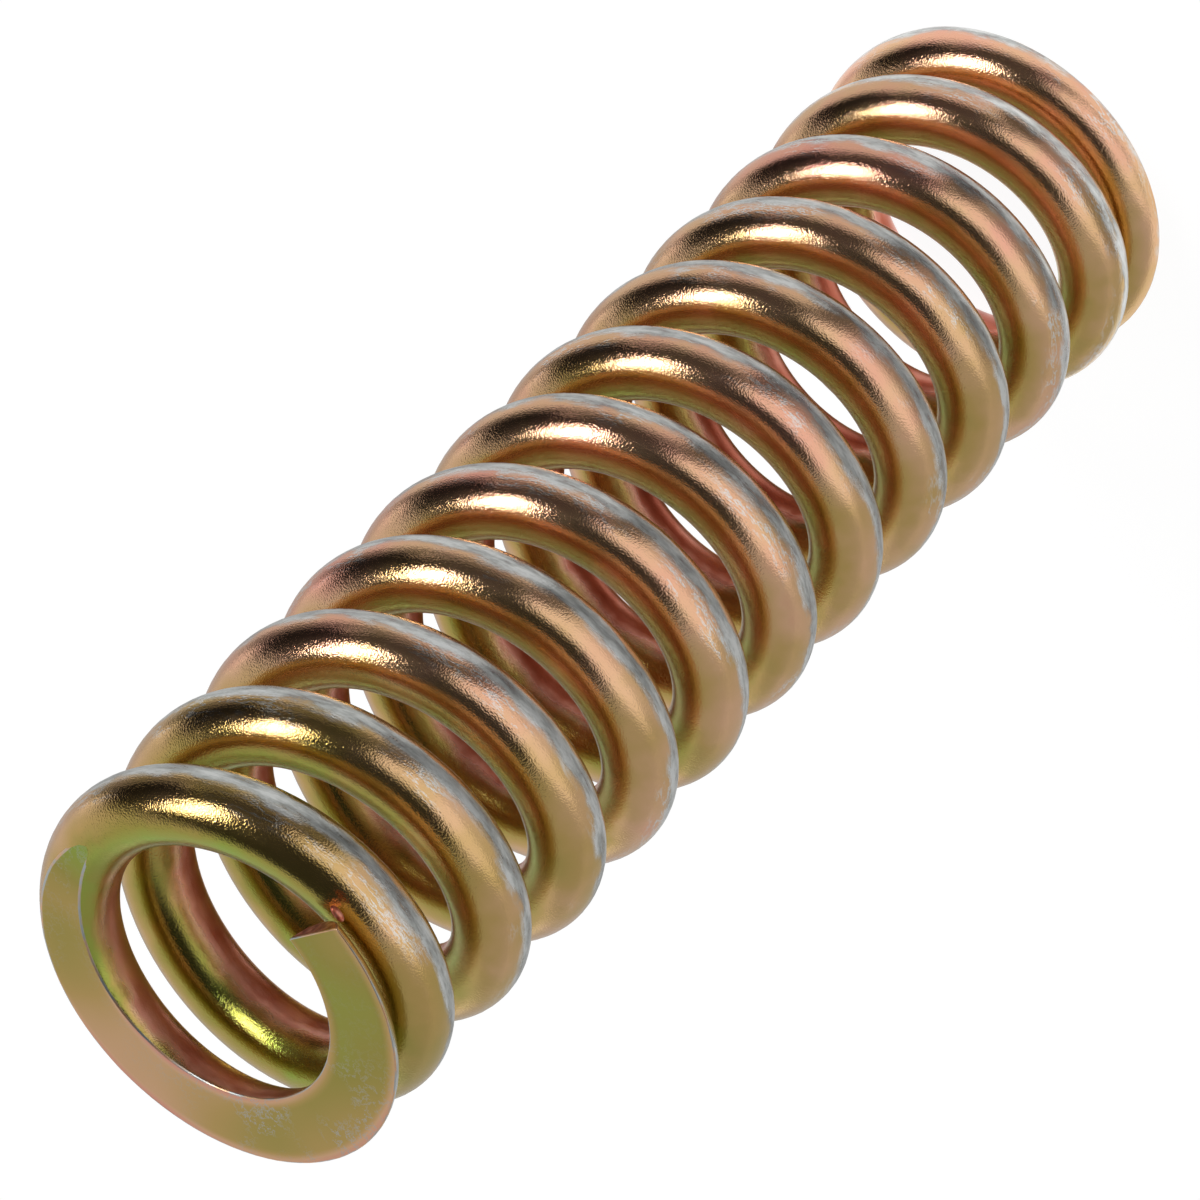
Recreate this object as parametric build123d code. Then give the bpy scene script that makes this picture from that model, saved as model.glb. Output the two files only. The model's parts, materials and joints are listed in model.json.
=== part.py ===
from build123d import *
from dataclasses import dataclass
from math import ceil, cos, pi, radians, sin
import os

# Small compression spring: one length of round wire, wound right-handed, with both
# end coils closed and ground flat. It stands on its lower ground face, with the coil
# axis on Z and the lower wire tip on +X. Sizes are in millimetres, degrees and turns.

# Body
wire_diameter = 3.0
mean_coil_diameter = 13.5
free_length = 59.0
total_turns = 12.345  # from tip to tip, along the middle of the wire

# Upper end
top_closed_turns = 0.768  # wound at the closed pitch
top_transition_turns = 0.149  # over which the pitch opens out to the working pitch
top_tip_gap = 0.38  # from the tip to the coil under it
top_tip_thickness = 0.78  # wire that the grinding leaves at the tip

# Lower end
bottom_closed_turns = 0.76
bottom_transition_turns = 0.24
bottom_tip_gap = 0.11
bottom_tip_thickness = 0.51

# Both tips are cropped a little askew of the wire, from stock wound past them.
crop_angle = 9.0
crop_stock = 1.0

# The centreline is laid in tangent arcs, so every stretch of wire is a piece of torus.
arcs_per_turn = 12


@dataclass(frozen=True)
class EndCoil:
    """One closed and ground end of the spring, measured from its wire tip."""

    closed_turns: float
    transition_turns: float
    tip_gap: float
    tip_thickness: float

    def closed_share(self, turns):
        """How much of the first so many turns counts as wound at the closed pitch."""
        past = turns - self.closed_turns
        eased = min(max(past / self.transition_turns, 0.0), 1.0)
        opened = self.transition_turns * (eased**3 - eased**4 / 2)
        return turns - opened - max(past - self.transition_turns, 0.0)


class Centreline:
    """The middle of the wire: a helix whose pitch closes up towards both tips.

    Places along it are in turns, from 0 at the lower tip up to total_turns.
    """

    def __init__(self, bottom, top):
        self.bottom = bottom
        self.top = top
        self.radius = mean_coil_diameter / 2
        self.tip_height = bottom.tip_thickness - wire_diameter / 2
        upper_tip_height = free_length + wire_diameter / 2 - top.tip_thickness

        open_turns = total_turns
        open_rise = upper_tip_height - self.tip_height
        for end in (bottom, top):
            closed = end.closed_share(total_turns) / end.closed_share(1.0)
            open_turns -= closed
            open_rise -= closed * (wire_diameter + end.tip_gap)
        self.pitch = open_rise / open_turns
        self.bottom_pitch = self.closed_pitch(bottom)
        self.top_pitch = self.closed_pitch(top)

    def closed_pitch(self, end):
        """The closed pitch that leaves the end's tip gap one turn in from the tip."""
        closed = end.closed_share(1.0)
        return (wire_diameter + end.tip_gap - self.pitch * (1.0 - closed)) / closed

    def height(self, turns):
        """Height of the centreline there."""
        closed_below = self.bottom.closed_share(turns)
        closed_above = self.top.closed_share(total_turns)
        closed_above -= self.top.closed_share(total_turns - turns)
        height = self.tip_height + self.pitch * turns
        height -= (self.pitch - self.bottom_pitch) * closed_below
        return height - (self.pitch - self.top_pitch) * closed_above

    def outward(self, turns):
        """The level direction from the coil axis to the wire there."""
        angle = 2 * pi * turns
        return Vector(cos(angle), sin(angle), 0)

    def point(self, turns):
        """The middle of the wire there."""
        return self.outward(turns) * self.radius + Vector(0, 0, self.height(turns))

    def arcs(self, first, last):
        """Tangent arcs from one place to another, each rounding one corner of a polygon.

        Neighbouring arcs meet on the polygon's runs, about halfway between corners.
        """
        count = ceil((last - first) * arcs_per_turn)
        step = (last - first) / count
        reach = self.radius / cos(pi * step)
        corners = []
        for index in range(-1, count + 1):
            turns = first + (index + 0.5) * step
            level = Vector(0, 0, self.height(turns))
            corners.append(self.outward(turns) * reach + level)

        arcs = []
        start = (corners[0] + corners[1]) / 2
        for before, corner, after in zip(corners, corners[1:], corners[2:]):
            finish = corner + (after - corner).normalized() * (corner - start).length
            arcs.append(Edge.make_tangent_arc(start, corner - before, finish))
            start = finish
        return arcs

    def crop_plane(self, turns, side):
        """The upright plane that crops a tip, facing the stock past it.

        side is 1 at the upper tip and -1 at the lower one.
        """
        outward = self.outward(turns)
        along = Vector(0, 0, side).cross(outward)
        askew = radians(crop_angle)
        return Plane(self.point(turns), z_dir=along * cos(askew) + outward * sin(askew))


def wire_along(arcs):
    """Round wire along some arcs that join end to end."""
    path = Wire(arcs)
    section = Plane(path.position_at(0), z_dir=path.tangent_at(0)) * Circle(wire_diameter / 2)
    return sweep(section, path=path, is_frenet=True, clean=False)


def ground_off(height):
    """What the grinding wheel takes off past one end, as a block centred there."""
    width = 2 * (mean_coil_diameter + wire_diameter)
    return Pos(0, 0, height) * Box(width, width, 2 * wire_diameter)


def make_spring(line):
    """The finished spring: wound, cropped at both tips and ground at both ends."""
    stock = crop_stock / (pi * mean_coil_diameter)
    arcs = line.arcs(-stock, total_turns + stock)
    lower_tip = split(wire_along(arcs[:1]), line.crop_plane(0.0, -1), Keep.BOTTOM)
    upper_tip = split(wire_along(arcs[-1:]), line.crop_plane(total_turns, 1), Keep.BOTTOM)
    spring = wire_along(arcs[1:-1]) + lower_tip + upper_tip
    spring -= ground_off(-wire_diameter)
    spring -= ground_off(free_length + wire_diameter)
    return spring


bottom_end = EndCoil(
    bottom_closed_turns, bottom_transition_turns, bottom_tip_gap, bottom_tip_thickness
)
top_end = EndCoil(top_closed_turns, top_transition_turns, top_tip_gap, top_tip_thickness)
centreline = Centreline(bottom_end, top_end)
coil_spring = make_spring(centreline)
coil_spring.label = "coil_spring"

os.makedirs("parts", exist_ok=True)
export_step(coil_spring, "parts/coil_spring.step")

wire_length = Wire(centreline.arcs(0.0, total_turns)).length
print("working pitch", round(centreline.pitch, 3))
print("closed pitches", round(centreline.bottom_pitch, 3), round(centreline.top_pitch, 3))
print("wire length", round(wire_length, 2))
print("unground wire", round(pi * wire_diameter**2 / 4 * wire_length, 1))
print("solid", round(coil_spring.volume, 1))
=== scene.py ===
"""Small compression spring of round wire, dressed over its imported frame.

The spring stands on its lower ground end with the coil axis on Z and the lower wire
tip on +X. It is wound right-handed, closed and ground at both ends, and plated in
zinc with a yellow passivate. Lengths are in metres unless a name ends in _mm.
"""

import json
import logging
from dataclasses import dataclass, field
from enum import IntEnum
from math import atan2, ceil, cos, floor, pi, radians, sin, sqrt, tan
from typing import Any

import bmesh
import bpy
from mathutils import Matrix, Vector


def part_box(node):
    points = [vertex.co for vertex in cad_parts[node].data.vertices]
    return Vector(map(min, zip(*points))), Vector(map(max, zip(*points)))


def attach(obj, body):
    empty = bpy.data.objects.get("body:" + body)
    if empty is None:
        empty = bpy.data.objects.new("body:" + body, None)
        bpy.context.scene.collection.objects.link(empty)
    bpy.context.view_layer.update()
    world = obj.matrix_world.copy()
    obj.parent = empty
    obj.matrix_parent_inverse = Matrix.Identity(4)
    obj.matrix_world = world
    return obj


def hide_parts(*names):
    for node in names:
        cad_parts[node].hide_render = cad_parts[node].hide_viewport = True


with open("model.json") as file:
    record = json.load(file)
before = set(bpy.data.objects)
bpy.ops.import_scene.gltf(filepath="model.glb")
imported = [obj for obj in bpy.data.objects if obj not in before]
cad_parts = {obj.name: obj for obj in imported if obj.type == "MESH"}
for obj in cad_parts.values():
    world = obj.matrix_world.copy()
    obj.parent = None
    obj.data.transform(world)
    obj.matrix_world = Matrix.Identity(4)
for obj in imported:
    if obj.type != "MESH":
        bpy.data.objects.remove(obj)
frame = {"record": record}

logging.basicConfig(level=logging.INFO, format="%(name)s: %(message)s")
log = logging.getLogger("spring")

MM = 0.001


def linear(hex_colour: str) -> tuple[float, float, float, float]:
    """Turns an sRGB colour into the linear values that the shaders take.

    Args:
        hex_colour: The colour as "#rrggbb".

    Returns:
        Red, green, blue and an alpha of 1.
    """
    channels = [int(hex_colour[at : at + 2], 16) / 255 for at in (1, 3, 5)]
    red, green, blue = (
        c / 12.92 if c <= 0.04045 else ((c + 0.055) / 1.055) ** 2.4 for c in channels
    )
    return red, green, blue, 1.0


def add_node(
    tree: bpy.types.NodeTree,
    kind: str,
    settings: dict[str, Any] | None = None,
    inputs: dict[str | int, Any] | list[Any] | None = None,
) -> bpy.types.Node:
    """Adds one node with its settings, values and links.

    Args:
        tree: The node tree that takes it.
        kind: The node's type, without its ShaderNode.
        settings: Properties of the node. "stops" fills a colour ramp, with hex
            colours or with plain levels.
        inputs: What the inputs get, by name, by number or in order: a value, a
            socket, or a node whose first live output is linked.

    Returns:
        The new node.
    """
    node = tree.nodes.new("ShaderNode" + kind)
    for name, value in (settings or {}).items():
        if name != "stops":
            setattr(node, name, value)
            continue
        elements = node.color_ramp.elements
        while len(elements) < len(value):
            elements.new(0.5)
        for element, (place, look) in zip(elements, value):
            element.position = place
            element.color = linear(look) if isinstance(look, str) else (look, look, look, 1)
    if isinstance(inputs, list):
        inputs = dict(enumerate(inputs))
    for name, value in (inputs or {}).items():
        if isinstance(name, int):
            socket = node.inputs[name]
        else:
            socket = next(s for s in node.inputs if s.enabled and s.name == name)
        if isinstance(value, bpy.types.Node):
            value = next(s for s in value.outputs if s.enabled)
        if isinstance(value, bpy.types.NodeSocket):
            tree.links.new(value, socket)
        else:
            socket.default_value = value
    return node


def new_material(name: str) -> bpy.types.Material:
    """Makes an empty node material with that name."""
    material = bpy.data.materials.new(name)
    material.use_nodes = True
    material.node_tree.nodes.clear()
    return material


class Finish(IntEnum):
    """The looks on the spring, in the order of its material slots."""

    PLATED_WIRE = 0
    GROUND_FACE = 1
    CROPPED_TIP = 2
    WORN_EDGE = 3


class Side(IntEnum):
    """Which end of the spring, as the sign of Z that it faces."""

    LOWER = -1
    UPPER = 1


@dataclass(frozen=True)
class ClosedEnd:
    """How one end coil closes up, measured from its wire tip.

    The tip gap is what is left open beside the tip, between it and the next coil.
    """

    closed_turns: float
    transition_turns: float
    tip_gap: float
    tip_thickness: float

    def closed_share(self, turns: float) -> float:
        """Counts how much of the first turns is wound at the closed pitch.

        Args:
            turns: Turns in from the tip.

        Returns:
            The closed part of them, in turns, eased over the transition.
        """
        past = turns - self.closed_turns
        eased = min(max(past / self.transition_turns, 0.0), 1.0)
        opened = self.transition_turns * (eased**3 - eased**4 / 2)
        return turns - opened - max(past - self.transition_turns, 0.0)


@dataclass
class Centreline:
    """The middle of the wire: a helix whose pitch closes up towards both tips.

    A place along it is in turns, from 0 at the lower tip.
    """

    wire: float
    radius: float
    free_length: float
    turns: float
    lower: ClosedEnd
    upper: ClosedEnd
    tip_height: float = field(init=False)
    pitch: float = field(init=False)
    lower_pitch: float = field(init=False)
    upper_pitch: float = field(init=False)

    def __post_init__(self) -> None:
        """Works out the working pitch and both closed pitches."""
        self.tip_height = self.lower.tip_thickness - self.wire / 2
        open_turns = self.turns
        open_rise = self.free_length + self.wire / 2 - self.upper.tip_thickness
        open_rise -= self.tip_height
        for end in (self.lower, self.upper):
            closed = end.closed_share(self.turns) / end.closed_share(1.0)
            open_turns -= closed
            open_rise -= closed * (self.wire + end.tip_gap)
        self.pitch = open_rise / open_turns
        self.lower_pitch = self.closed_pitch(self.lower)
        self.upper_pitch = self.closed_pitch(self.upper)

    def closed_pitch(self, end: ClosedEnd) -> float:
        """Finds the closed pitch that leaves an end's tip gap one turn in."""
        closed = end.closed_share(1.0)
        return (self.wire + end.tip_gap - self.pitch * (1.0 - closed)) / closed

    def height(self, turns: float) -> float:
        """Finds the height of the wire's middle at a place along it."""
        closed_below = self.lower.closed_share(turns)
        closed_above = self.upper.closed_share(self.turns)
        closed_above -= self.upper.closed_share(self.turns - turns)
        height = self.tip_height + self.pitch * turns
        height -= (self.pitch - self.lower_pitch) * closed_below
        return height - (self.pitch - self.upper_pitch) * closed_above

    def lead(self, turns: float) -> float:
        """Finds how steeply the wire climbs at a place, as an angle."""
        nearby = 0.002
        rise = self.height(turns + nearby) - self.height(turns - nearby)
        return atan2(rise, 4 * pi * nearby * self.radius)

    def outward(self, turns: float) -> Vector:
        """Finds the level direction from the coil axis to the wire."""
        return Vector((cos(2 * pi * turns), sin(2 * pi * turns), 0.0))

    def along(self, turns: float) -> float:
        """Measures the wire from the lower tip to a place along it."""
        level = 2 * pi * self.radius * turns
        rise = self.height(turns) - self.tip_height
        return (1 if turns > 0 else -1) * sqrt(level**2 + rise**2)

    def point(self, turns: float) -> Vector:
        """Finds the middle of the wire at a place along it."""
        return self.outward(turns) * self.radius + Vector((0, 0, self.height(turns)))


@dataclass
class CoilSpring:
    """The whole spring: one length of wire, wound, cropped and ground.

    While it is worked, each point keeps its place along the wire in the layer
    "turns". In the end it also has its place on the straight wire before winding, in
    the layer "unrolled", in millimetres: outward, towards the upper end, and along.
    """

    line: Centreline
    crop_angle: float = radians(9.0)
    stock_turns: float = 0.03
    section_sides: int = 40
    steps_per_turn: int = 96
    edge_break: float = 0.055 * MM
    burr_radius: float = 0.2 * MM
    burr_out: float = 1.22 * MM
    burr_past: float = 0.12 * MM
    burr_down: float = 0.52 * MM
    bake_rows: int = 6
    bake_span: float = 92.0
    bake_margin: float = 0.45
    piece_name: str = "spring_coil"

    def section(self, coil: bmesh.types.BMesh, turns: float) -> list[bmesh.types.BMVert]:
        """Sets one round section square to the wire at a place along it.

        Args:
            coil: The mesh that takes the section.
            turns: The place along the wire.

        Returns:
            The section's points.
        """
        line = self.line
        points = bmesh.ops.create_circle(
            coil, cap_ends=False, radius=line.wire / 2, segments=self.section_sides
        )["verts"]
        outward, lead = line.outward(turns), line.lead(turns)
        tangent = Vector((-outward.y, outward.x, 0)) * cos(lead) + Vector((0, 0, sin(lead)))
        square = Matrix((outward, outward.cross(tangent), -tangent)).transposed()
        bmesh.ops.rotate(coil, cent=(0, 0, 0), matrix=square, verts=points)
        bmesh.ops.translate(coil, vec=line.point(turns), verts=points)
        return points

    def wind_stretch(self, first: float, steps: int) -> bpy.types.Mesh:
        """Winds one stretch of wire, spun up the helix one short step at a time.

        Args:
            first: Where it starts, in turns.
            steps: How many steps of steps_per_turn it takes.

        Returns:
            The stretch as a mesh, open at both ends.
        """
        line = self.line
        stretch = bmesh.new()
        turns = stretch.verts.layers.float.new("turns")
        points = self.section(stretch, first)
        ring = dict.fromkeys(edge for point in points for edge in point.link_edges)
        parts = [*points, *ring]
        for point in points:
            point[turns] = first
        for number in range(steps):
            here = first + number / self.steps_per_turn
            there = first + (number + 1) / self.steps_per_turn
            parts = bmesh.ops.spin(
                stretch,
                geom=parts,
                cent=(0, 0, 0),
                axis=(0, 0, 1),
                dvec=(0, 0, line.height(there) - line.height(here)),
                angle=2 * pi / self.steps_per_turn,
                steps=1,
            )["geom_last"]
            points = [part for part in parts if isinstance(part, bmesh.types.BMVert)]
            steeper = line.lead(there) - line.lead(here)
            tilt = Matrix.Rotation(steeper, 3, line.outward(there))
            bmesh.ops.rotate(stretch, cent=line.point(there), matrix=tilt, verts=points)
            for point in points:
                point[turns] = there
        mesh = bpy.data.meshes.new("stretch")
        stretch.to_mesh(mesh)
        stretch.free()
        return mesh

    def wind(self) -> bmesh.types.BMesh:
        """Winds the whole wire, in stretches of half a turn that are then welded.

        Returns:
            An open tube, a little longer than the finished wire at both ends.
        """
        coil = bmesh.new()
        coil.verts.layers.float.new("turns")
        coil.verts.layers.float_vector.new("unrolled")
        first = -self.stock_turns
        left = ceil((self.line.turns + 2 * self.stock_turns) * self.steps_per_turn)
        while left:
            steps = min(left, self.steps_per_turn // 2)
            mesh = self.wind_stretch(first, steps)
            coil.from_mesh(mesh)
            bpy.data.meshes.remove(mesh)
            first += steps / self.steps_per_turn
            left -= steps
        bmesh.ops.remove_doubles(coil, verts=coil.verts[:], dist=1e-6)
        bmesh.ops.recalc_face_normals(coil, faces=coil.faces[:])
        return coil

    def close(self, coil: bmesh.types.BMesh, cut: list[Any], finish: Finish) -> None:
        """Closes a cut with one flat face.

        Args:
            coil: The mesh that was cut.
            cut: What the cut made.
            finish: The look of the new face.
        """
        rim = [
            part
            for part in cut
            if isinstance(part, bmesh.types.BMEdge) and part.is_boundary
        ]
        for face in bmesh.ops.contextual_create(coil, geom=rim)["faces"]:
            face.material_index = finish
        log.info("%s closed along %d edges", finish.name.lower(), len(rim))

    def crop(self, coil: bmesh.types.BMesh, side: Side) -> None:
        """Shears the wire off at one tip, a little askew, and closes the cut.

        Args:
            coil: The wound wire.
            side: Which tip is cropped.
        """
        line = self.line
        layer = coil.verts.layers.float["turns"]
        tip = line.turns if side is Side.UPPER else 0.0
        outward = line.outward(tip)
        along = Vector((0, 0, side)).cross(outward)
        verts = [vert for vert in coil.verts if abs(vert[layer] - tip) < 0.08]
        edges = dict.fromkeys(edge for vert in verts for edge in vert.link_edges)
        faces = dict.fromkeys(face for edge in edges for face in edge.link_faces)
        made = bmesh.ops.bisect_plane(
            coil,
            geom=[*verts, *edges, *faces],
            dist=1e-7,
            plane_co=line.point(tip),
            plane_no=along * cos(self.crop_angle) + outward * sin(self.crop_angle),
            clear_outer=True,
        )
        self.close(coil, made["geom_cut"], Finish.CROPPED_TIP)

    def grind(self, coil: bmesh.types.BMesh, side: Side) -> None:
        """Grinds one end flat and closes it with its ground face.

        Args:
            coil: The cropped wire.
            side: Which end is ground.
        """
        level = self.line.free_length if side is Side.UPPER else 0.0
        made = bmesh.ops.bisect_plane(
            coil,
            geom=coil.verts[:] + coil.edges[:] + coil.faces[:],
            dist=1e-7,
            plane_co=(0, 0, level),
            plane_no=(0, 0, side),
            clear_outer=True,
        )
        self.close(coil, made["geom_cut"], Finish.GROUND_FACE)

    def raise_burr(self, coil: bmesh.types.BMesh) -> None:
        """Leaves a small burr where the shear tore out of the upper tip.

        It is a closed bead of its own, beside the tip, that doesn't reach the wire.

        Args:
            coil: The ground spring.
        """
        line = self.line
        turns = coil.verts.layers.float["turns"]
        outward = line.outward(line.turns)
        along = Vector((-outward.y, outward.x, 0))
        points = bmesh.ops.create_icosphere(
            coil, subdivisions=3, radius=self.burr_radius
        )["verts"]
        bmesh.ops.scale(coil, vec=(1.8, 0.7, 0.8), verts=points)
        turn = Matrix((along, outward, Vector((0, 0, -1)))).transposed()
        bmesh.ops.rotate(coil, cent=(0, 0, 0), matrix=turn, verts=points)
        place = outward * (line.radius + self.burr_out) + along * self.burr_past
        place.z = line.free_length - self.burr_down
        bmesh.ops.translate(coil, vec=place, verts=points)
        for point in points:
            point[turns] = line.turns
            for face in point.link_faces:
                face.material_index = Finish.CROPPED_TIP

    def break_edges(self, coil: bmesh.types.BMesh) -> None:
        """Takes the sharpness off the ground and cropped edges.

        Args:
            coil: The ground spring.
        """
        bmesh.ops.recalc_face_normals(coil, faces=coil.faces[:])
        flats = [face for face in coil.faces if face.material_index != Finish.PLATED_WIRE]
        beside = dict.fromkeys(
            edge for face in flats for vert in face.verts for edge in vert.link_edges
        )
        bmesh.ops.dissolve_degenerate(
            coil, dist=0.9 * self.edge_break, edges=list(beside)
        )
        for face in coil.faces:
            if face.material_index == Finish.GROUND_FACE:
                level = round(face.calc_center_median().z, 4)
                for vert in face.verts:
                    vert.co.z = level
        sharp = [
            edge
            for edge in coil.edges
            if len({face.material_index for face in edge.link_faces}) == 2
            and edge.calc_face_angle(0.0) > radians(20)
        ]
        made = bmesh.ops.bevel(
            coil,
            geom=sharp,
            offset=self.edge_break,
            offset_type="OFFSET",
            affect="EDGES",
            segments=2,
            profile=0.5,
            clamp_overlap=False,
            material=Finish.WORN_EDGE,
        )
        log.info("broke %d sharp edges, %d faces", len(sharp), len(made["faces"]))

    def measure(self, coil: bmesh.types.BMesh) -> None:
        """Works out every point's place on the straight wire.

        Args:
            coil: The finished mesh.
        """
        line = self.line
        rough = coil.verts.layers.float["turns"]
        unrolled = coil.verts.layers.float_vector["unrolled"]
        for vert in coil.verts:
            part = atan2(vert.co.y, vert.co.x) / (2 * pi)
            turns = part + round(vert[rough] - part)
            outward, lead = line.outward(turns), line.lead(turns)
            tangent = Vector((-outward.y, outward.x, 0)) * cos(lead)
            tangent += Vector((0, 0, sin(lead)))
            offset = vert.co - line.point(turns)
            vert[rough] = turns
            vert[unrolled] = (
                offset.dot(outward) / MM,
                offset.dot(outward.cross(tangent)) / MM,
                line.along(turns) / MM,
            )

    def lay_out_bake_map(self, coil: bmesh.types.BMesh) -> None:
        """Lays the surface out flat and even, for baking its finish to a picture.

        The wire lies in rows of straight strips, slit along the inside of the coil,
        and the flat faces lie beside them at the same scale.

        Args:
            coil: The measured mesh.
        """
        bake = coil.loops.layers.uv.new("OFBake")
        unrolled = coil.verts.layers.float_vector["unrolled"]
        span, margin, radius = self.bake_span, self.bake_margin, self.line.wire / 2 / MM
        row_length = self.line.along(self.line.turns) / MM / self.bake_rows + 0.01
        row_height = 2 * pi * radius + 2 * margin
        outer = (self.line.radius + self.line.wire / 2) / MM
        above = self.bake_rows * row_height + 2 * margin + outer
        for face in coil.faces:
            middle = Vector((0, 0, 0))
            for vert in face.verts:
                middle += vert[unrolled] / len(face.verts)
            upper = face.calc_center_median().z > self.line.free_length / 2
            row = min(max(floor(middle.z / row_length), 0), self.bake_rows - 1)
            for loop in face.loops:
                place = loop.vert[unrolled]
                if face.material_index == Finish.GROUND_FACE:
                    left = outer + 2 * margin + (2 * outer + 3 * margin) * upper
                    spot = (left + loop.vert.co.x / MM, above + loop.vert.co.y / MM)
                elif face.material_index == Finish.CROPPED_TIP:
                    left = 4 * outer + 12 * margin + radius + 8 * margin * radius * upper
                    spot = (left + place.x, above + place.y)
                else:
                    turn = atan2(place.y, place.x)
                    centre = atan2(middle.y, middle.x)
                    turn += 2 * pi * round((centre - turn) / (2 * pi))
                    along = place.z - row * row_length
                    spot = (
                        3 * margin + along,
                        margin + row * row_height + (turn + pi) * radius,
                    )
                loop[bake].uv = (spot[0] / span, spot[1] / span)

    def build(self) -> bpy.types.Object:
        """Builds the spring's mesh.

        Returns:
            The piece, with its finishes still to be given.
        """
        coil = self.wind()
        for side in Side:
            self.crop(coil, side)
        for side in Side:
            self.grind(coil, side)
        self.break_edges(coil)
        self.raise_burr(coil)
        self.measure(coil)
        self.lay_out_bake_map(coil)
        bmesh.ops.recalc_face_normals(coil, faces=coil.faces[:])
        for face in coil.faces:
            face.smooth = face.material_index in (Finish.PLATED_WIRE, Finish.WORN_EDGE)
        for edge in coil.edges:
            edge.smooth = edge.calc_face_angle(0.0) < radians(40)
        mesh = bpy.data.meshes.new(self.piece_name)
        coil.to_mesh(mesh)
        coil.free()
        piece = bpy.data.objects.new(self.piece_name, mesh)
        bpy.context.scene.collection.objects.link(piece)
        return piece


@dataclass(frozen=True)
class YellowZincPlate:
    """Spring steel wire, barrel plated in zinc and dipped in a yellow passivate.

    The passivate is a thin film on bright zinc, so the metal shines through it and
    its colour goes from copper through salmon and gold to green with its thickness.
    Springs rub on their outside in the barrel, which wears it back to bare zinc.
    """

    copper: str = "#94432f"
    rose: str = "#bf6c54"
    salmon: str = "#eaa994"
    gold: str = "#e4b890"
    straw_olive: str = "#c9a968"
    olive: str = "#ab9f50"
    green: str = "#9db04e"
    dull_zinc: str = "#868f95"
    bare_zinc: str = "#bcc0be"
    scuffed_zinc: str = "#dfe2e1"
    # How the film's shade runs round the section, from the inside of the coil, past its
    # lower side, outside and upper side, back to the inside. It is partly painted light:
    # the dark copper on the inside is painted shade inside the coil, the darker olive on
    # the upper side is partly painted shade between the coils, and the olive and salmon
    # round the sides are a painted colour shift of the film with the angle it is seen at,
    # held fixed.
    film_and_painted_light_round: tuple[tuple[float, float], ...] = (
        (0.0, 0.08),
        (0.14, 0.2),
        (0.28, 0.42),
        (0.45, 0.42),
        (0.6, 0.4),
        (0.7, 0.52),
        (0.8, 0.8),
        (0.9, 0.7),
        (0.97, 0.18),
        (1.0, 0.08),
    )
    wear_round: tuple[tuple[float, float], ...] = (
        (0.0, 0.0),
        (0.38, 0.0),
        (0.44, 0.8),
        (0.49, 0.8),
        (0.55, 0.25),
        (0.62, 0.0),
        (1.0, 0.0),
    )

    # The same, round a ground face from angle -180 to 180 degrees.
    ground_round: tuple[tuple[float, float], ...] = (
        (0.0, 0.9),
        (0.12, 0.92),
        (0.2, 0.58),
        (0.4, 0.55),
        (0.52, 0.7),
        (0.6, 0.86),
        (0.85, 0.86),
        (1.0, 0.9),
    )

    # Where the ground faces are scratched from handling, round the same angles.
    handled_round: tuple[tuple[float, float], ...] = (
        (0.08, 1.0),
        (0.2, 0.2),
        (0.42, 0.3),
        (0.5, 1.0),
        (0.64, 1.0),
        (0.72, 0.1),
    )

    def film_colour(self, tree: bpy.types.NodeTree, shade: Any) -> bpy.types.Node:
        """Colours the film by its shade, from 0 for copper to 1 for green."""
        stops = [
            (0.0, self.copper),
            (0.16, self.rose),
            (0.32, self.salmon),
            (0.48, self.gold),
            (0.64, self.straw_olive),
            (0.82, self.olive),
            (1.0, self.green),
        ]
        return add_node(tree, "ValToRGB", {"stops": stops}, [shade])

    def wire_material(self) -> bpy.types.Material:
        """Builds the look of the round wire."""
        made = new_material("yellow_zinc_wire")
        tree = made.node_tree
        unrolled = add_node(tree, "Attribute", {"attribute_name": "unrolled"})
        unrolled = unrolled.outputs["Vector"]
        place = add_node(tree, "SeparateXYZ", None, [unrolled])
        angle = add_node(
            tree,
            "Math",
            {"operation": "ARCTAN2"},
            [place.outputs["Y"], place.outputs["X"]],
        )
        # The film's borders wander a few degrees, over some 2 mm of wire.
        wander = add_node(
            tree, "TexNoise", None, {"Vector": unrolled, "Scale": 0.5, "Detail": 3.0}
        )
        around = add_node(
            tree, "MapRange", None, {"Value": angle, "From Min": -pi, "From Max": pi}
        )
        around = add_node(
            tree,
            "Math",
            {"operation": "MULTIPLY_ADD"},
            [wander, 0.12, around],
        )
        around = add_node(tree, "Math", {"operation": "SUBTRACT"}, [around, 0.06])
        # Film colour round the section, partly painted light: painted shade inside the coil
        # and between the coils, and a painted colour shift with viewing angle round the
        # sides.
        shade = add_node(tree, "ValToRGB", {"stops": list(self.film_and_painted_light_round)}, [around])

        # Drifts of film thickness: long ones of 15 mm, and blotches of 2 mm.
        drift = add_node(
            tree, "TexNoise", None, {"Vector": unrolled, "Scale": 0.07, "Detail": 1.0}
        )
        blotch = add_node(
            tree, "TexNoise", None, {"Vector": unrolled, "Scale": 0.45, "Detail": 2.0}
        )
        shade = add_node(tree, "Math", {"operation": "MULTIPLY_ADD"}, [drift, 0.4, shade])
        shade = add_node(tree, "Math", {"operation": "MULTIPLY_ADD"}, [blotch, 0.35, shade])
        # The film is greener on the last few coils, towards the upper end.
        hung = add_node(
            tree,
            "MapRange",
            {"interpolation_type": "SMOOTHSTEP"},
            {
                "Value": place.outputs["Z"],
                "From Min": 330.0,
                "From Max": 527.0,
                "To Min": -0.35,
                "To Max": -0.2,
            },
        )
        shade = add_node(tree, "Math", {"operation": "ADD"}, [shade, hung])
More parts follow.
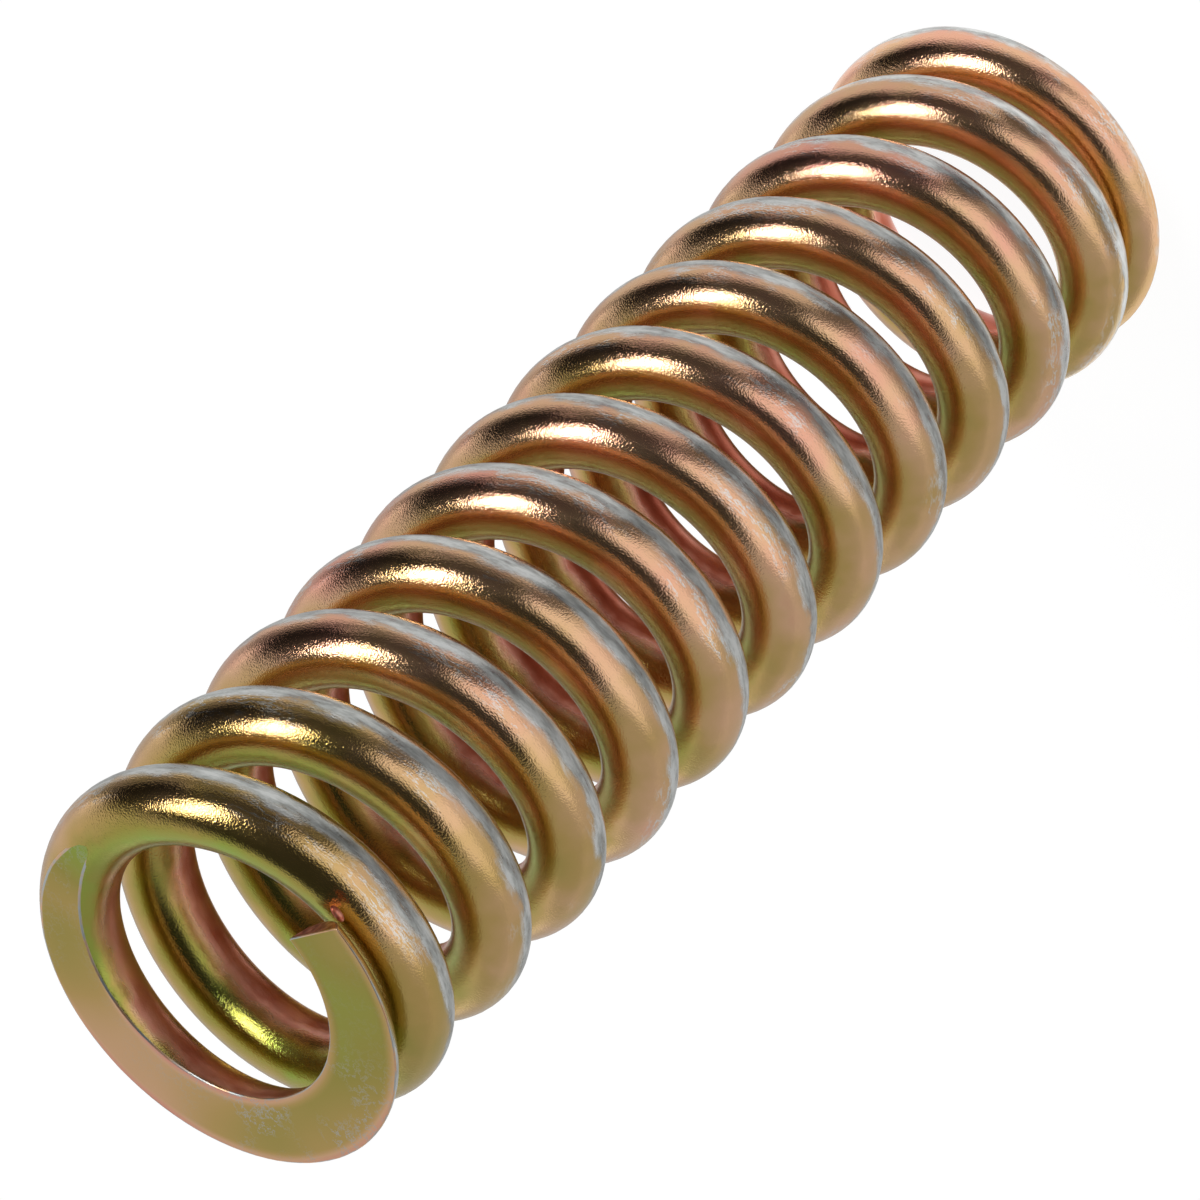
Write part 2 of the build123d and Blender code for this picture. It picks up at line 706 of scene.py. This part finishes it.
        # It is also greener along one side of the spring.
        position = add_node(tree, "TexCoord").outputs["Object"]
        side = add_node(
            tree, "VectorMath", {"operation": "DOT_PRODUCT"}, [position, (45.0, 120.0, 0)]
        ).outputs["Value"]
        side = add_node(
            tree,
            "MapRange",
            {"interpolation_type": "SMOOTHSTEP"},
            {"Value": side, "From Min": 0.55, "From Max": 1.0, "To Max": 0.12},
        )
        shade = add_node(tree, "Math", {"operation": "ADD"}, [shade, side])
        film = self.film_colour(tree, shade)

        # Wear on the outside of the coils, ragged over 0.5 mm and drawn along the wire.
        stretched = add_node(
            tree, "Mapping", None, {"Vector": unrolled, "Scale": (1.0, 1.0, 0.3)}
        )
        ragged = add_node(
            tree,
            "TexNoise",
            None,
            {"Vector": stretched, "Scale": 2.2, "Detail": 5.0, "Roughness": 0.65},
        )
        band = add_node(tree, "ValToRGB", {"stops": list(self.wear_round)}, [around])
        wear = add_node(tree, "Math", {"operation": "ADD"}, [band, ragged])
        wear = add_node(
            tree,
            "MapRange",
            {"interpolation_type": "SMOOTHSTEP"},
            {"Value": wear, "From Min": 0.85, "From Max": 1.3, "To Max": 0.95},
        )
        zinc = add_node(
            tree,
            "ValToRGB",
            {
                "stops": [
                    (0.38, self.dull_zinc),
                    (0.5, self.bare_zinc),
                    (0.62, self.scuffed_zinc),
                ]
            },
            [ragged],
        )
        worn = add_node(
            tree, "Mix", {"data_type": "RGBA"}, {0: wear, 6: film, 7: zinc}
        )

        # Rub marks: thin pale outlines at the border of the wear, 0.1 mm across.
        rub = add_node(
            tree,
            "TexNoise",
            None,
            {"Vector": stretched, "Scale": 1.7, "Detail": 6.0, "Roughness": 0.7},
        )
        line = add_node(tree, "Math", {"operation": "SUBTRACT"}, [rub, 0.5])
        line = add_node(tree, "Math", {"operation": "ABSOLUTE"}, [line])
        line = add_node(
            tree,
            "MapRange",
            None,
            {"Value": line, "From Min": 0.03, "From Max": 0.0},
        )
        border = add_node(
            tree,
            "ValToRGB",
            {"stops": [(0.0, 0.0), (0.42, 0.0), (0.5, 1.0), (0.57, 0.9), (0.62, 0.0)]},
            [around],
        )
        patch = add_node(
            tree, "TexNoise", None, {"Vector": unrolled, "Scale": 0.22, "Detail": 2.0}
        )
        patch = add_node(
            tree, "MapRange", None, {"Value": patch, "From Min": 0.47, "From Max": 0.56}
        )
        line = add_node(tree, "Math", {"operation": "MULTIPLY"}, [line, border])
        line = add_node(tree, "Math", {"operation": "MULTIPLY"}, [line, patch])
        colour = add_node(
            tree,
            "Mix",
            {"data_type": "RGBA"},
            {0: line, 6: worn.outputs[2], 7: linear(self.scuffed_zinc)},
        )

        # The inside keeps the full grain of the plating; elsewhere it is burnished.
        satin = add_node(
            tree,
            "ValToRGB",
            {"stops": [(0.0, 0.32), (0.16, 0.27), (0.32, 0.17), (0.86, 0.17), (1.0, 0.32)]},
            [around],
        )
        roughness = add_node(
            tree, "Math", {"operation": "MULTIPLY_ADD"}, [wear, 0.13, satin]
        )
        # The plating's own grain: zinc crystals of about 0.12 mm.
        grain = add_node(
            tree,
            "TexNoise",
            None,
            {"Vector": unrolled, "Scale": 15.0, "Detail": 1.0, "Roughness": 0.5},
        )
        bump = add_node(
            tree, "Bump", None, {"Strength": 1.0, "Distance": 0.012 * MM, "Height": grain}
        )
        shader = add_node(
            tree,
            "BsdfPrincipled",
            None,
            {
                "Base Color": colour.outputs[2],
                "Metallic": 1.0,
                "Roughness": roughness,
                "Normal": bump,
            },
        )
        add_node(tree, "OutputMaterial", None, {"Surface": shader})
        return made

    def ground_material(self) -> bpy.types.Material:
        """Builds the look of the ground end faces, flat and duller than the wire."""
        made = new_material("yellow_zinc_ground_face")
        tree = made.node_tree
        position = add_node(tree, "TexCoord").outputs["Object"]
        drift = add_node(
            tree, "TexNoise", None, {"Vector": position, "Scale": 110.0, "Detail": 1.5}
        )
        drift = add_node(
            tree,
            "MapRange",
            None,
            {
                "Value": drift,
                "From Min": 0.3,
                "From Max": 0.7,
                "To Min": -0.2,
                "To Max": 0.2,
            },
        )
        # Round the face the film goes from green by the tip, past tan, back to green.
        place = add_node(tree, "SeparateXYZ", None, [position])
        angle = add_node(
            tree, "Math", {"operation": "ARCTAN2"}, [place.outputs["Y"], place.outputs["X"]]
        )
        around = add_node(
            tree, "MapRange", None, {"Value": angle, "From Min": -pi, "From Max": pi}
        )
        shade = add_node(tree, "ValToRGB", {"stops": list(self.ground_round)}, [around])
        shade = add_node(tree, "Math", {"operation": "ADD"}, [shade, drift])
        # It is redder along both edges, where it is thinner.
        radius = add_node(
            tree, "VectorMath", {"operation": "MULTIPLY"}, [position, (1000.0, 1000.0, 0.0)]
        )
        radius = add_node(tree, "VectorMath", {"operation": "LENGTH"}, [radius])
        radius = radius.outputs["Value"]
        edge = add_node(tree, "Math", {"operation": "SUBTRACT"}, [radius, 6.75])
        edge = add_node(tree, "Math", {"operation": "ABSOLUTE"}, [edge])
        edge = add_node(
            tree,
            "MapRange",
            {"interpolation_type": "SMOOTHSTEP"},
            {"Value": edge, "From Min": 0.9, "From Max": 1.5, "To Max": -0.3},
        )
        shade = add_node(tree, "Math", {"operation": "ADD"}, [shade, edge])
        film = self.film_colour(tree, shade)
        # Handling scratches, 0.05 mm wide, in patches across the face.
        scratch = add_node(
            tree,
            "TexNoise",
            None,
            {"Vector": position, "Scale": 1300.0, "Detail": 6.0, "Roughness": 0.7},
        )
        scratch = add_node(tree, "Math", {"operation": "SUBTRACT"}, [scratch, 0.5])
        scratch = add_node(tree, "Math", {"operation": "ABSOLUTE"}, [scratch])
        scratch = add_node(
            tree, "MapRange", None, {"Value": scratch, "From Min": 0.02, "From Max": 0.0}
        )
        patch = add_node(
            tree, "TexNoise", None, {"Vector": position, "Scale": 260.0, "Detail": 2.0}
        )
        patch = add_node(
            tree, "MapRange", None, {"Value": patch, "From Min": 0.42, "From Max": 0.52}
        )
        handled = add_node(
            tree,
            "ValToRGB",
            {"stops": list(self.handled_round)},
            [around],
        )
        scratch = add_node(tree, "Math", {"operation": "MULTIPLY"}, [scratch, patch])
        scratch = add_node(tree, "Math", {"operation": "MULTIPLY"}, [scratch, handled])
        colour = add_node(
            tree,
            "Mix",
            {"data_type": "RGBA"},
            {0: scratch, 6: film, 7: linear(self.bare_zinc)},
        )
        shader = add_node(
            tree,
            "BsdfPrincipled",
            None,
            {"Base Color": colour.outputs[2], "Metallic": 1.0, "Roughness": 0.42},
        )
        add_node(tree, "OutputMaterial", None, {"Surface": shader})
        return made

    def tip_material(self) -> bpy.types.Material:
        """Builds the look of the sheared tips, torn and coppery with thick film."""
        made = new_material("yellow_zinc_sheared_tip")
        tree = made.node_tree
        position = add_node(tree, "TexCoord").outputs["Object"]
        tear = add_node(
            tree, "TexNoise", None, {"Vector": position, "Scale": 3000.0, "Detail": 4.0}
        )
        shade = add_node(
            tree,
            "MapRange",
            None,
            {"Value": tear, "From Min": 0.35, "From Max": 0.65, "To Max": 0.25},
        )
        film = self.film_colour(tree, shade)
        bump = add_node(
            tree, "Bump", None, {"Strength": 1.0, "Distance": 0.03 * MM, "Height": tear}
        )
        shader = add_node(
            tree,
            "BsdfPrincipled",
            None,
            {"Base Color": film, "Metallic": 1.0, "Roughness": 0.4, "Normal": bump},
        )
        add_node(tree, "OutputMaterial", None, {"Surface": shader})
        return made

    def edge_material(self) -> bpy.types.Material:
        """Builds the look of the broken edges, rubbed back to pale zinc."""
        made = new_material("bare_zinc_edge")
        tree = made.node_tree
        position = add_node(tree, "TexCoord").outputs["Object"]
        rub = add_node(
            tree, "TexNoise", None, {"Vector": position, "Scale": 900.0, "Detail": 3.0}
        )
        colour = add_node(
            tree,
            "ValToRGB",
            {"stops": [(0.4, self.gold), (0.55, self.bare_zinc)]},
            [rub],
        )
        shader = add_node(
            tree,
            "BsdfPrincipled",
            None,
            {"Base Color": colour, "Metallic": 1.0, "Roughness": 0.38},
        )
        add_node(tree, "OutputMaterial", None, {"Surface": shader})
        return made

    def materials(self) -> list[bpy.types.Material]:
        """Builds every look, in the order of Finish."""
        return [
            self.wire_material(),
            self.ground_material(),
            self.tip_material(),
            self.edge_material(),
        ]


@dataclass(frozen=True)
class Panel:
    """A lamp or a card of the studio, as the spring sees it.

    It reaches from start to end, each an azimuth from +Y towards +X and an elevation
    in degrees, and its width is in degrees too. A lamp that isn't mirrored lights the
    set but doesn't show in the metal.
    """

    name: str
    start: tuple[float, float]
    end: tuple[float, float]
    width: float
    brightness: float
    distance: float = 0.5
    mirrored: bool = True

    @staticmethod
    def direction(azimuth: float, elevation: float) -> Vector:
        """Turns an azimuth and an elevation into a direction."""
        a, e = radians(azimuth), radians(elevation)
        return Vector((sin(a) * cos(e), cos(a) * cos(e), sin(e)))

    def size(self) -> tuple[float, float]:
        """Works out its length and width in metres."""
        spread = self.direction(*self.start).angle(self.direction(*self.end))
        return (
            2 * self.distance * tan(spread / 2),
            2 * self.distance * tan(radians(self.width) / 2),
        )

    def place(self, aim: Vector) -> Matrix:
        """Works out where it stands, facing the aim along its own -Z."""
        start, end = self.direction(*self.start), self.direction(*self.end)
        back = (start + end).normalized()
        long = (end - start).normalized()
        turn = Matrix((long, back.cross(long), back)).transposed().to_4x4()
        return Matrix.Translation(aim + back * self.distance) @ turn


@dataclass(frozen=True)
class FloorFlag:
    """A dark or grey card on the floor, between two azimuths and two distances."""

    name: str
    start: float
    end: float
    near: float
    far: float
    brightness: float


@dataclass
class Studio:
    """White floor and room, soft lamps, the cards that the metal mirrors, the camera."""

    aim: Vector = field(default_factory=lambda: Vector((0.0, 0.0, 29.5 * MM)))
    floor_reach: float = 1.5
    floor_white: float = 1.1
    floor_white_share: float = 0.85
    room_light: float = 0.03
    card_lift: float = 0.1 * MM
    wedge_steps: int = 24
    camera_aim: Vector = field(
        default_factory=lambda: Vector((0.214, 0.221, 32.483)) * MM
    )
    camera_back: Vector = field(
        default_factory=lambda: Vector((-0.54352, 0.52644, 0.65379))
    )
    camera_right: Vector = field(
        default_factory=lambda: Vector((0.16508, 0.83071, -0.53166))
    )
    camera_distance: float = 225.54 * MM
    camera_lens_mm: float = 170.27
    lamps: tuple[Panel, ...] = (
        Panel("key_softbox", (-146.0, 61.0), (-106.0, 42.0), 10.0, 12.0),
        Panel("broad_panel", (-58.0, 20.0), (20.0, 20.0), 52.0, 1.0, mirrored=False),
        Panel("side_fill", (20.0, 22.0), (110.0, 22.0), 60.0, 0.5, mirrored=False),
        Panel("end_fill", (112.0, 44.0), (-170.0, 44.0), 40.0, 0.85, mirrored=False),
    )
    flags: tuple[Panel, ...] = (
        Panel("flag_beside_key", (-166.0, 18.0), (-118.0, 18.0), 44.0, 0.01),
        Panel("flag_below_camera", (-56.0, 12.0), (-56.0, 0.0), 14.0, 0.05),
        Panel("flag_camera", (-44.0, 43.0), (-34.0, 43.0), 9.0, 0.03),
        Panel("flag_round_key", (-176.0, 46.0), (-84.0, 46.0), 34.0, 0.02, 0.7),
        Panel("flag_between", (-120.0, 22.0), (-60.0, 22.0), 50.0, 0.06, 0.7),
        Panel("card_side", (20.0, 22.0), (110.0, 22.0), 60.0, 0.5, 0.7),
        Panel("card_end", (110.0, 22.0), (-170.0, 22.0), 60.0, 0.7, 0.7),
        Panel("flag_overhead", (-150.0, 44.0), (30.0, 44.0), 92.0, 0.04, 0.8),
    )
    floor_flags: tuple[FloorFlag, ...] = (
        FloorFlag("floor_flag_camera", -66.0, -46.0, 0.012, 1.2, 0.14),
        FloorFlag("floor_flag_low", -46.0, 14.0, 0.012, 0.075, 0.35),
        FloorFlag("floor_flag_key", -172.0, -66.0, 0.14, 1.4, 0.2),
        FloorFlag("floor_card_low", -46.0, 14.0, 0.075, 1.2, 0.7),
        FloorFlag("floor_card_far", -172.0, -66.0, 0.012, 0.14, 0.7),
        FloorFlag("floor_card_side", 14.0, 188.0, 0.012, 1.2, 0.55),
    )

    def add_lamp(self, panel: Panel) -> None:
        """Adds one soft lamp."""
        data = bpy.data.lights.new(panel.name, "AREA")
        data.shape = "RECTANGLE"
        data.size, data.size_y = panel.size()
        data.energy = panel.brightness * pi * data.size * data.size_y
        lamp = bpy.data.objects.new(panel.name, data)
        lamp.matrix_world = panel.place(self.aim)
        lamp.visible_camera = False
        lamp.visible_glossy = panel.mirrored
        bpy.context.scene.collection.objects.link(lamp)

    def add_flag(self, panel: Panel) -> None:
        """Adds one dark or grey card that stands at a distance."""
        long, wide = panel.size()
        card = bmesh.new()
        bmesh.ops.create_grid(card, x_segments=1, y_segments=1, size=0.5)
        bmesh.ops.scale(card, vec=(long, wide, 1), verts=card.verts)
        bmesh.ops.transform(card, matrix=panel.place(self.aim), verts=card.verts)
        self.add_card(card, panel.name, panel.brightness)

    def add_floor_flag(self, flag: FloorFlag) -> None:
        """Adds one card that lies on the floor, as a wedge round the coil axis."""
        card = bmesh.new()
        start = Panel.direction(flag.start, 0.0)
        near = bmesh.ops.create_vert(card, co=start * flag.near)["vert"][0]
        far = bmesh.ops.create_vert(card, co=start * flag.far)["vert"][0]
        edge = bmesh.ops.contextual_create(card, geom=[near, far])["edges"][0]
        bmesh.ops.spin(
            card,
            geom=[near, far, edge],
            cent=(0, 0, 0),
            axis=(0, 0, -1),
            dvec=(0, 0, 0),
            angle=radians(flag.end - flag.start),
            steps=self.wedge_steps,
        )
        bmesh.ops.translate(card, vec=(0, 0, self.card_lift), verts=card.verts)
        self.add_card(card, flag.name, flag.brightness)

    def add_card(self, card: bmesh.types.BMesh, name: str, brightness: float) -> None:
        """Makes a card that only the metal's reflections show.

        Args:
            card: Its mesh, which is freed.
            name: Its name.
            brightness: How bright it is, where 1 is white.
        """
        mesh = bpy.data.meshes.new(name)
        card.to_mesh(mesh)
        card.free()
        piece = bpy.data.objects.new(name, mesh)
        bpy.context.scene.collection.objects.link(piece)
        plain = new_material(name)
        glow = add_node(plain.node_tree, "Emission", None, {"Strength": brightness})
        add_node(plain.node_tree, "OutputMaterial", inputs={"Surface": glow})
        mesh.materials.append(plain)
        piece.visible_camera = False
        piece.visible_diffuse = False
        piece.visible_shadow = False
        piece.visible_transmission = False

    def seen_as_background(self, tree: bpy.types.NodeTree) -> bpy.types.Node:
        """Picks the rays that show the plain white: direct, mirrored and through glass."""
        path = add_node(tree, "LightPath")
        seen = add_node(
            tree,
            "Math",
            {"operation": "MAXIMUM"},
            [path.outputs["Is Camera Ray"], path.outputs["Is Glossy Ray"]],
        )
        return add_node(
            tree,
            "Math",
            {"operation": "MAXIMUM"},
            [seen, path.outputs["Is Transmission Ray"]],
        )

    def add_floor(self) -> None:
        """Adds the white floor, which keeps a faint shadow of the spring."""
        ground = bmesh.new()
        bmesh.ops.create_grid(ground, x_segments=1, y_segments=1, size=self.floor_reach)
        mesh = bpy.data.meshes.new("floor")
        ground.to_mesh(mesh)
        ground.free()
        floor_piece = bpy.data.objects.new("floor", mesh)
        bpy.context.scene.collection.objects.link(floor_piece)
        white = new_material("white_floor")
        tree = white.node_tree
        share = add_node(
            tree,
            "Math",
            {"operation": "MULTIPLY"},
            [self.seen_as_background(tree), self.floor_white_share],
        )
        lit = add_node(tree, "BsdfDiffuse", inputs={"Color": linear("#f4f4f4")})
        glow = add_node(tree, "Emission", inputs={"Strength": self.floor_white})
        mixed = add_node(tree, "MixShader", inputs={0: share, 1: lit, 2: glow})
        add_node(tree, "OutputMaterial", inputs={"Surface": mixed})
        mesh.materials.append(white)

    def add_world(self) -> None:
        """Adds a room that gives little light, and is plain white to look at."""
        world = bpy.data.worlds.new("studio")
        world.use_nodes = True
        bpy.context.scene.world = world
        tree = world.node_tree
        tree.nodes.clear()
        room = add_node(
            tree,
            "Background",
            inputs={"Color": linear("#ffffff"), "Strength": self.room_light},
        )
        white = add_node(
            tree,
            "Background",
            inputs={"Color": linear("#ffffff"), "Strength": 1.0},
        )
        mixed = add_node(
            tree,
            "MixShader",
            inputs={0: self.seen_as_background(tree), 1: room, 2: white},
        )
        add_node(tree, "OutputWorld", inputs={"Surface": mixed})

    def add_camera(self) -> None:
        """Adds the camera: a long lens close in, rolled so the spring lies aslant."""
        data = bpy.data.cameras.new("camera")
        data.sensor_width = 36.0
        data.lens = self.camera_lens_mm
        data.clip_start, data.clip_end = 0.01, 10.0
        camera = bpy.data.objects.new("camera", data)
        right, back = self.camera_right, self.camera_back
        turn = Matrix((right, back.cross(right), back)).transposed().to_4x4()
        place = self.camera_aim + back * self.camera_distance
        camera.matrix_world = Matrix.Translation(place) @ turn
        bpy.context.scene.collection.objects.link(camera)
        bpy.context.scene.camera = camera

    def build(self) -> None:
        """Sets up the whole studio."""
        for panel in self.lamps:
            self.add_lamp(panel)
        for panel in self.flags:
            self.add_flag(panel)
        for floor_flag in self.floor_flags:
            self.add_floor_flag(floor_flag)
        self.add_floor()
        self.add_world()
        self.add_camera()
        settings = bpy.context.scene.view_settings
        settings.view_transform = "Standard"


def main() -> None:
    """Builds the spring and the studio, and hides the imported coil part."""
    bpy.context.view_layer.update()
    slides = {mount["name"]: mount["dims"] for mount in frame["record"]["mounts"]}
    inner = slides["guide_rod"]["r_mm"] * MM
    outer = slides["spring_pocket"]["r_mm"] * MM
    low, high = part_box("coil_spring")
    line = Centreline(
        wire=outer - inner,
        radius=(outer + inner) / 2,
        free_length=high[2] - low[2],
        turns=12.345,
        lower=ClosedEnd(
            closed_turns=0.76,
            transition_turns=0.24,
            tip_gap=0.11 * MM,
            tip_thickness=0.51 * MM,
        ),
        upper=ClosedEnd(
            closed_turns=0.768,
            transition_turns=0.149,
            tip_gap=0.38 * MM,
            tip_thickness=0.78 * MM,
        ),
    )
    spring = CoilSpring(line).build()
    for material in YellowZincPlate().materials():
        spring.data.materials.append(material)
    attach(spring, "root")
    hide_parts("coil_spring")
    log.info("%s: %d faces", spring.name, len(spring.data.polygons))
    Studio().build()


if __name__ == "__main__":
    main()
